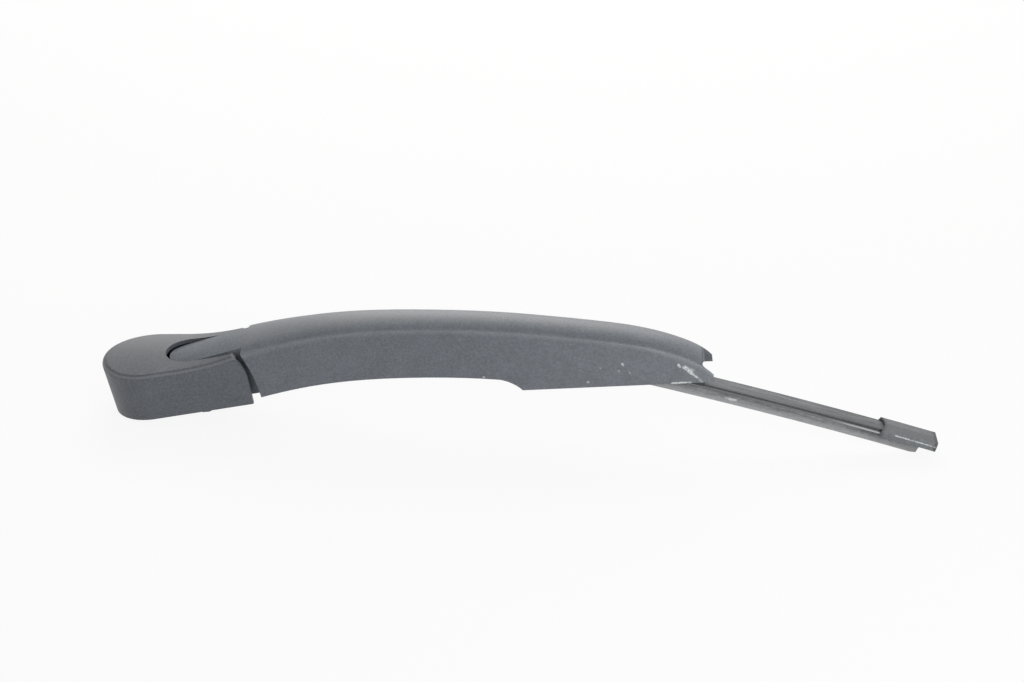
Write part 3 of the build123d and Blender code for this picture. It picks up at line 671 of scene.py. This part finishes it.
class WiperSpring(bpy.types.PropertyGroup):
    """Sizes of the coil spring."""

    coil_radius: number("Coil radius", "To the middle of the wire", 0.0045, **LENGTH)
    wire_radius: number("Wire radius", "Of the drawn wire", 0.001, **LENGTH)
    coil_pitch: number("Pitch", "From one turn to the next", 0.004, **LENGTH)
    end_leg: number("End leg", "Straight wire between the coil and an end hook", 0.004, **LENGTH)
    stretch: number("Stretch", "How far the anchor pin draws out in the lift", 0.0009, **LENGTH)
    hook_end: number("Hook reach", "From the hook's pin to the spring's hole", 0.03, **LENGTH)


class WiperStage(bpy.types.PropertyGroup):
    """Camera, floor and light."""

    lens: number("Lens", "Focal length on a sensor 36 mm wide", 70.0, unit="CAMERA")
    distance: number("Distance", "From the camera to the point it looks at", 0.948, **LENGTH)
    target: bpy.props.FloatVectorProperty(
        name="Target", description="Point that the camera looks at", subtype="XYZ",
        default=(0.17584, 0.0, 0.01264),
    )
    azimuth: number("Azimuth", "Camera's turn round the object", radians(7.0), **ANGLE)
    elevation: number("Elevation", "Camera's height over the object", radians(28.0), **ANGLE)
    roll: number("Roll", "Turn of the camera about its view", radians(-8.8), **ANGLE)
    world_level: number("Room light", "Strength of the light from all round", 0.4)
    ceiling_level: number("Ceiling", "How bright the ceiling shows in a gloss", 0.35)
    front_power: number("Front light", "Power of the low lamp in front", 1.5, **POWER)
    back_power: number("Back light", "Power of the large lamp behind", 8.0, **POWER)
    paper_share: number("Paper white", "How far the floor shows as plain white", 0.9, **SHARE)


# Pieces


class WIPER_OT_mouldings(bpy.types.Operator):
    """Finish the head cover and the arm"""

    bl_idname = "wiper.mouldings"
    bl_label = "Head cover and arm"

    def execute(self, context):
        looks = context.scene.wiper_finish
        cover = moulded_plastic("Head cover moulding", looks.cover_colour, films=cover_painted_light)
        paint(["head_cap"], cover)
        arm = moulded_plastic("Arm moulding", looks.arm_colour, ARM_SCRATCHES, arm_painted_light)
        paint(["arm_shell"], arm)
        return {"FINISHED"}


class WIPER_OT_blade(bpy.types.Operator):
    """Finish the blade's strips, end caps, rails and rubber"""

    bl_idname = "wiper.blade"
    bl_label = "Blade"

    def execute(self, context):
        looks = context.scene.wiper_finish
        strip = streaked_plastic("Blade strip", looks.strip_colour)
        paint(["spoiler_outer", "spoiler_inner"], strip)
        ends = moulded_plastic(
            "Blade end cap", looks.end_cap_colour, END_CAP_HIGHLIGHT_LINE, end_cap_painted_shade
        )
        paint(["end_cap_outer", "end_cap_inner"], ends)
        steel = rail_steel("Rail spring steel", looks.rail_colour, looks.glint_colour)
        paint(["flexor_rail_near", "flexor_rail_far"], steel)
        rubber = dull_rubber("Wiping rubber", looks.rubber_colour, looks.rubber_lip_light_colour)
        paint(["wiper_rubber"], rubber)
        return {"FINISHED"}


class WIPER_OT_fittings(bpy.types.Operator):
    """Finish the casting, pins, bushes, hook, bracket and clip"""

    bl_idname = "wiper.fittings"
    bl_label = "Hinge and fittings"

    def execute(self, context):
        cast = worked_metal("Cast skin", from_srgb(186, 187, 189), EVEN_MARKS, 0.42, 0.3)
        paint(["head_casting"], cast)
        turned = worked_metal("Zinc-plated pin", from_srgb(196, 197, 200), TURNED_MARKS, 0.25, 0.25)
        paint(["hinge_pin", "hook_pin", "spring_anchor_pin", "blade_pivot_pin"], turned)
        pressed = worked_metal("Pressed hook", from_srgb(188, 189, 192), PRESSED_MARKS, 0.3, 0.3)
        paint(["spring_hook"], pressed)
        acetal = moulded_plastic("Natural acetal bush", from_srgb(214, 212, 205))
        paint(["hinge_bush_near", "hinge_bush_far"], acetal)
        paint(["blade_bracket"], moulded_plastic("Black coated bracket", from_srgb(58, 59, 61)))
        paint(["pivot_clip"], moulded_plastic("Black clip", from_srgb(52, 53, 55)))
        return {"FINISHED"}


def spring_tree(material):
    """Node tree that draws the coil with a hook at each end, along +Z from the origin."""
    tree = bpy.data.node_groups.new("Coil spring", "GeometryNodeTree")
    sizes = {}
    for name in ("Coil radius", "Wire radius", "Length", "Turns", "End leg"):
        socket = tree.interface.new_socket(name, in_out="INPUT", socket_type="NodeSocketFloat")
        sizes[name] = socket.identifier
    tree.interface.new_socket("Spring", in_out="OUTPUT", socket_type="NodeSocketGeometry")
    start = Shade(tree)
    entry = tree.nodes.new("NodeGroupInput")
    given = {name: Shade(tree, entry.outputs[name]) for name in sizes}
    radius = given["Coil radius"]
    spiral = start.node(
        "GeometryNodeCurveSpiral",
        None,
        {
            "Resolution": COIL_STEPS,
            "Rotations": given["Turns"],
            "Start Radius": radius,
            "End Radius": radius,
            "Height": given["Length"],
        },
    )
    parts = [spiral]
    quarter = pi / 2
    for foot, lean in ((0.0, -1.0), (given["Length"], 1.0)):
        arc = start.node(
            "GeometryNodeCurveArc",
            {"mode": "RADIUS"},
            {"Resolution": HOOK_STEPS, "Radius": radius, "Start Angle": 0.0, "Sweep Angle": lean * pi},
        )
        height = given["End leg"] * lean + foot
        place = start.node("ShaderNodeCombineXYZ", None, {"Z": height})
        turn = (quarter, 0.0, 0.0) if lean < 0 else (quarter, 0.0, quarter)
        hook = {"Geometry": arc, "Translation": place, "Rotation": turn}
        parts.append(start.node("GeometryNodeTransform", None, hook))
        side = {"X": radius} if lean < 0 else {"Y": radius}
        leg = {
            "Start": start.node("ShaderNodeCombineXYZ", None, {**side, "Z": foot}),
            "End": start.node("ShaderNodeCombineXYZ", None, {**side, "Z": height}),
        }
        parts.append(start.node("GeometryNodeCurvePrimitiveLine", None, leg))
    joined = tree.nodes.new("GeometryNodeJoinGeometry")
    for part in parts:
        tree.links.new(part.socket, joined.inputs[0])
    section = {"Resolution": WIRE_SIDES, "Radius": given["Wire radius"]}
    wire = start.node("GeometryNodeCurvePrimitiveCircle", None, section)
    swept = start.node(
        "GeometryNodeCurveToMesh",
        None,
        {"Curve": Shade(tree, joined.outputs[0]), "Profile Curve": wire, "Fill Caps": True},
    )
    smooth = start.node("GeometryNodeSetShadeSmooth", None, {"Geometry": swept})
    real = start.node("GeometryNodeRealizeInstances", None, {"Geometry": smooth})
    dressed = start.node("GeometryNodeSetMaterial", None, {"Geometry": real, "Material": material})
    leave = tree.nodes.new("NodeGroupOutput")
    tree.links.new(dressed.socket, leave.inputs[0])
    return tree, sizes


class WIPER_OT_spring(bpy.types.Operator):
    """Draw the coil spring between the hook and the arm's anchor pin"""

    bl_idname = "wiper.spring"
    bl_label = "Coil spring"

    def execute(self, context):
        given = context.scene.wiper_spring
        wire = worked_metal("Drawn spring wire", from_srgb(150, 151, 154), WIRE_MARKS, 0.3, 0.35)
        tree, sizes = spring_tree(wire)
        pin = Vector(JOINTS["hook_swing"]["pos_m"])
        anchor_low, anchor_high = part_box("spring_anchor_pin")
        anchor_radius = (anchor_high.x - anchor_low.x) / 2
        anchor = (anchor_low + anchor_high) / 2
        anchor.y = 0.0
        pull = anchor - pin
        tilt = atan2(pull.z, pull.x)
        clear = given.coil_radius + given.wire_radius
        start = given.hook_end + given.end_leg + clear
        inside = given.coil_radius - given.wire_radius
        end = pull.length + given.stretch + anchor_radius - inside - given.end_leg
        length = end - start
        values = {
            "Coil radius": given.coil_radius,
            "Wire radius": given.wire_radius,
            "Length": length,
            "Turns": round(length / given.coil_pitch) + 0.25,
            "End leg": given.end_leg,
        }
        draft = bpy.data.objects.new("Coil spring draft", bpy.data.meshes.new("Coil spring draft"))
        context.scene.collection.objects.link(draft)
        modifier = draft.modifiers.new("Coil", "NODES")
        modifier.node_group = tree
        for name, value in values.items():
            modifier[sizes[name]] = value
        depsgraph = context.evaluated_depsgraph_get()
        mesh = bpy.data.meshes.new_from_object(draft.evaluated_get(depsgraph))
        bpy.data.objects.remove(draft)
        if not mesh.polygons:
            raise RuntimeError("the coil spring came out empty")
        along = Vector((cos(tilt), 0.0, sin(tilt)))
        across = Vector((0.0, 1.0, 0.0))
        up = along.cross(across)
        place = Matrix((across, up, along)).transposed().to_4x4()
        place.translation = pin + along * start
        mesh.transform(place)
        spring = bpy.data.objects.new("coil_spring", mesh)
        context.scene.collection.objects.link(spring)
        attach(spring, "spring_link")
        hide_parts("tension_spring")
        return {"FINISHED"}


class WIPER_OT_stage(bpy.types.Operator):
    """Set up the floor, the light and the camera"""

    bl_idname = "wiper.stage"
    bl_label = "Studio stage"

    def execute(self, context):
        scene = context.scene
        stage = scene.wiper_stage
        scene.view_settings.view_transform = "Standard"
        self.floor(scene, stage)
        self.room(scene, stage)
        self.lamps(scene, stage)
        self.camera(scene, stage)
        return {"FINISHED"}

    def floor(self, scene, stage):
        """White paper on which the head's rim and the blade's end lie."""
        head_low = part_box("head_cap")[0]
        blade_low, blade_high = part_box("wiper_rubber")
        rim = Vector((head_low.x, 0.0, 0.0))
        end = Vector((blade_high.x, 0.0, blade_low.z))
        centre = (rim + end) / 2
        along = (end - rim).normalized() * FLOOR_HALF
        across = Vector((0.0, FLOOR_HALF, 0.0))
        corners = [
            centre - along - across, centre + along - across,
            centre + along + across, centre - along + across,
        ]
        mesh = bpy.data.meshes.new("Paper floor")
        mesh.from_pydata(corners, [], [(0, 1, 2, 3)])
        floor = bpy.data.objects.new("Paper floor", mesh)
        scene.collection.objects.link(floor)
        material = bpy.data.materials.new("White paper")
        material.use_nodes = True
        tree = material.node_tree
        tree.nodes.clear()
        shade = Shade(tree)
        diffuse = shade.node("ShaderNodeBsdfDiffuse", None, {"Color": PAPER})
        glow = shade.node("ShaderNodeEmission", None, {"Color": WHITE, "Strength": 1.0})
        share = self.seen_rays(shade) * stage.paper_share
        mix = shade.node("ShaderNodeMixShader", None, {0: share, 1: diffuse, 2: glow})
        out = tree.nodes.new("ShaderNodeOutputMaterial")
        tree.links.new(mix.socket, out.inputs["Surface"])
        mesh.materials.append(material)

    def seen_rays(self, shade):
        """1 for what the camera sees, straight or in a gloss."""
        rays = [
            shade.node("ShaderNodeLightPath", output=name)
            for name in ("Is Camera Ray", "Is Glossy Ray", "Is Transmission Ray")
        ]
        return (rays[0] + rays[1] + rays[2]).clamped()

    def room(self, scene, stage):
        """White light from all round, with a dimmer ceiling over a white horizon."""
        world = bpy.data.worlds.new("Studio room")
        scene.world = world
        world.use_nodes = True
        tree = world.node_tree
        shade = Shade(tree)
        seen = self.seen_rays(shade)
        height = shade.node("ShaderNodeTexCoord", output="Generated").split()[2]
        shown = 1.0 - height.smooth(*CEILING_FADE) * (1.0 - stage.ceiling_level)
        strength = seen * (shown - stage.world_level) + stage.world_level
        back = tree.nodes["Background"]
        back.inputs["Color"].default_value = WHITE
        shade.feed(back.inputs["Strength"], strength)

    def lamps(self, scene, stage):
        """A large soft lamp high up behind, and a small one low in front."""
        aim = Vector(stage.target)
        for name, place, size, power, tint in (
            ("Front lamp", (0.45, -0.45, 0.2), 0.4, stage.front_power, (0.97, 0.985, 1.0)),
            ("Back lamp", (0.1, 0.9, 0.62), 0.9, stage.back_power, (1.0, 0.985, 0.955)),
        ):
            data = bpy.data.lights.new(name, "AREA")
            data.shape = "SQUARE"
            data.size = size
            data.energy = power
            data.color = tint
            lamp = bpy.data.objects.new(name, data)
            scene.collection.objects.link(lamp)
            lamp.location = aim + Vector(place)
            lamp.rotation_mode = "QUATERNION"
            lamp.rotation_quaternion = (-Vector(place)).to_track_quat("-Z", "Y")

    def camera(self, scene, stage):
        """Camera at the photograph's angle."""
        level = cos(stage.elevation)
        back = Vector((sin(stage.azimuth) * level, -cos(stage.azimuth) * level, sin(stage.elevation)))
        flat_right = Vector((cos(stage.azimuth), sin(stage.azimuth), 0.0))
        flat_up = back.cross(flat_right)
        right = flat_right * cos(stage.roll) + flat_up * sin(stage.roll)
        up = flat_up * cos(stage.roll) - flat_right * sin(stage.roll)
        data = bpy.data.cameras.new("Camera")
        data.lens = stage.lens
        data.sensor_width = SENSOR_WIDTH
        data.clip_start = NEAR_CLIP
        camera = bpy.data.objects.new("Camera", data)
        scene.collection.objects.link(camera)
        turn = Matrix((right, up, back)).transposed().to_4x4()
        turn.translation = Vector(stage.target) + back * stage.distance
        camera.matrix_world = turn
        scene.camera = camera


class WIPER_PT_panel(bpy.types.Panel):
    """Lists the pieces of the wiper arm"""

    bl_idname = "WIPER_PT_panel"
    bl_label = "Wiper arm"
    bl_space_type = "VIEW_3D"
    bl_region_type = "UI"
    bl_category = "Wiper arm"

    def draw(self, context):
        for settings in ("wiper_finish", "wiper_spring", "wiper_stage"):
            group = getattr(context.scene, settings)
            box = self.layout.box()
            for name in group.__annotations__:
                box.prop(group, name)
        for operator in OPERATORS:
            self.layout.operator(operator.bl_idname)


OPERATORS = (
    WIPER_OT_mouldings,
    WIPER_OT_blade,
    WIPER_OT_fittings,
    WIPER_OT_spring,
    WIPER_OT_stage,
)
CLASSES = (WiperFinish, WiperSpring, WiperStage, *OPERATORS, WIPER_PT_panel)


def register():
    """Add the classes and their settings."""
    for item in CLASSES:
        bpy.utils.register_class(item)
    bpy.types.Scene.wiper_finish = bpy.props.PointerProperty(type=WiperFinish)
    bpy.types.Scene.wiper_spring = bpy.props.PointerProperty(type=WiperSpring)
    bpy.types.Scene.wiper_stage = bpy.props.PointerProperty(type=WiperStage)


def unregister():
    """Take the classes and their settings away."""
    del bpy.types.Scene.wiper_finish
    del bpy.types.Scene.wiper_spring
    del bpy.types.Scene.wiper_stage
    for item in reversed(CLASSES):
        bpy.utils.unregister_class(item)


def main():
    """Dress the wiper arm."""
    register()
    bpy.ops.wiper.mouldings()
    bpy.ops.wiper.blade()
    bpy.ops.wiper.fittings()
    bpy.ops.wiper.spring()
    bpy.ops.wiper.stage()


if __name__ == "__main__":
    main()
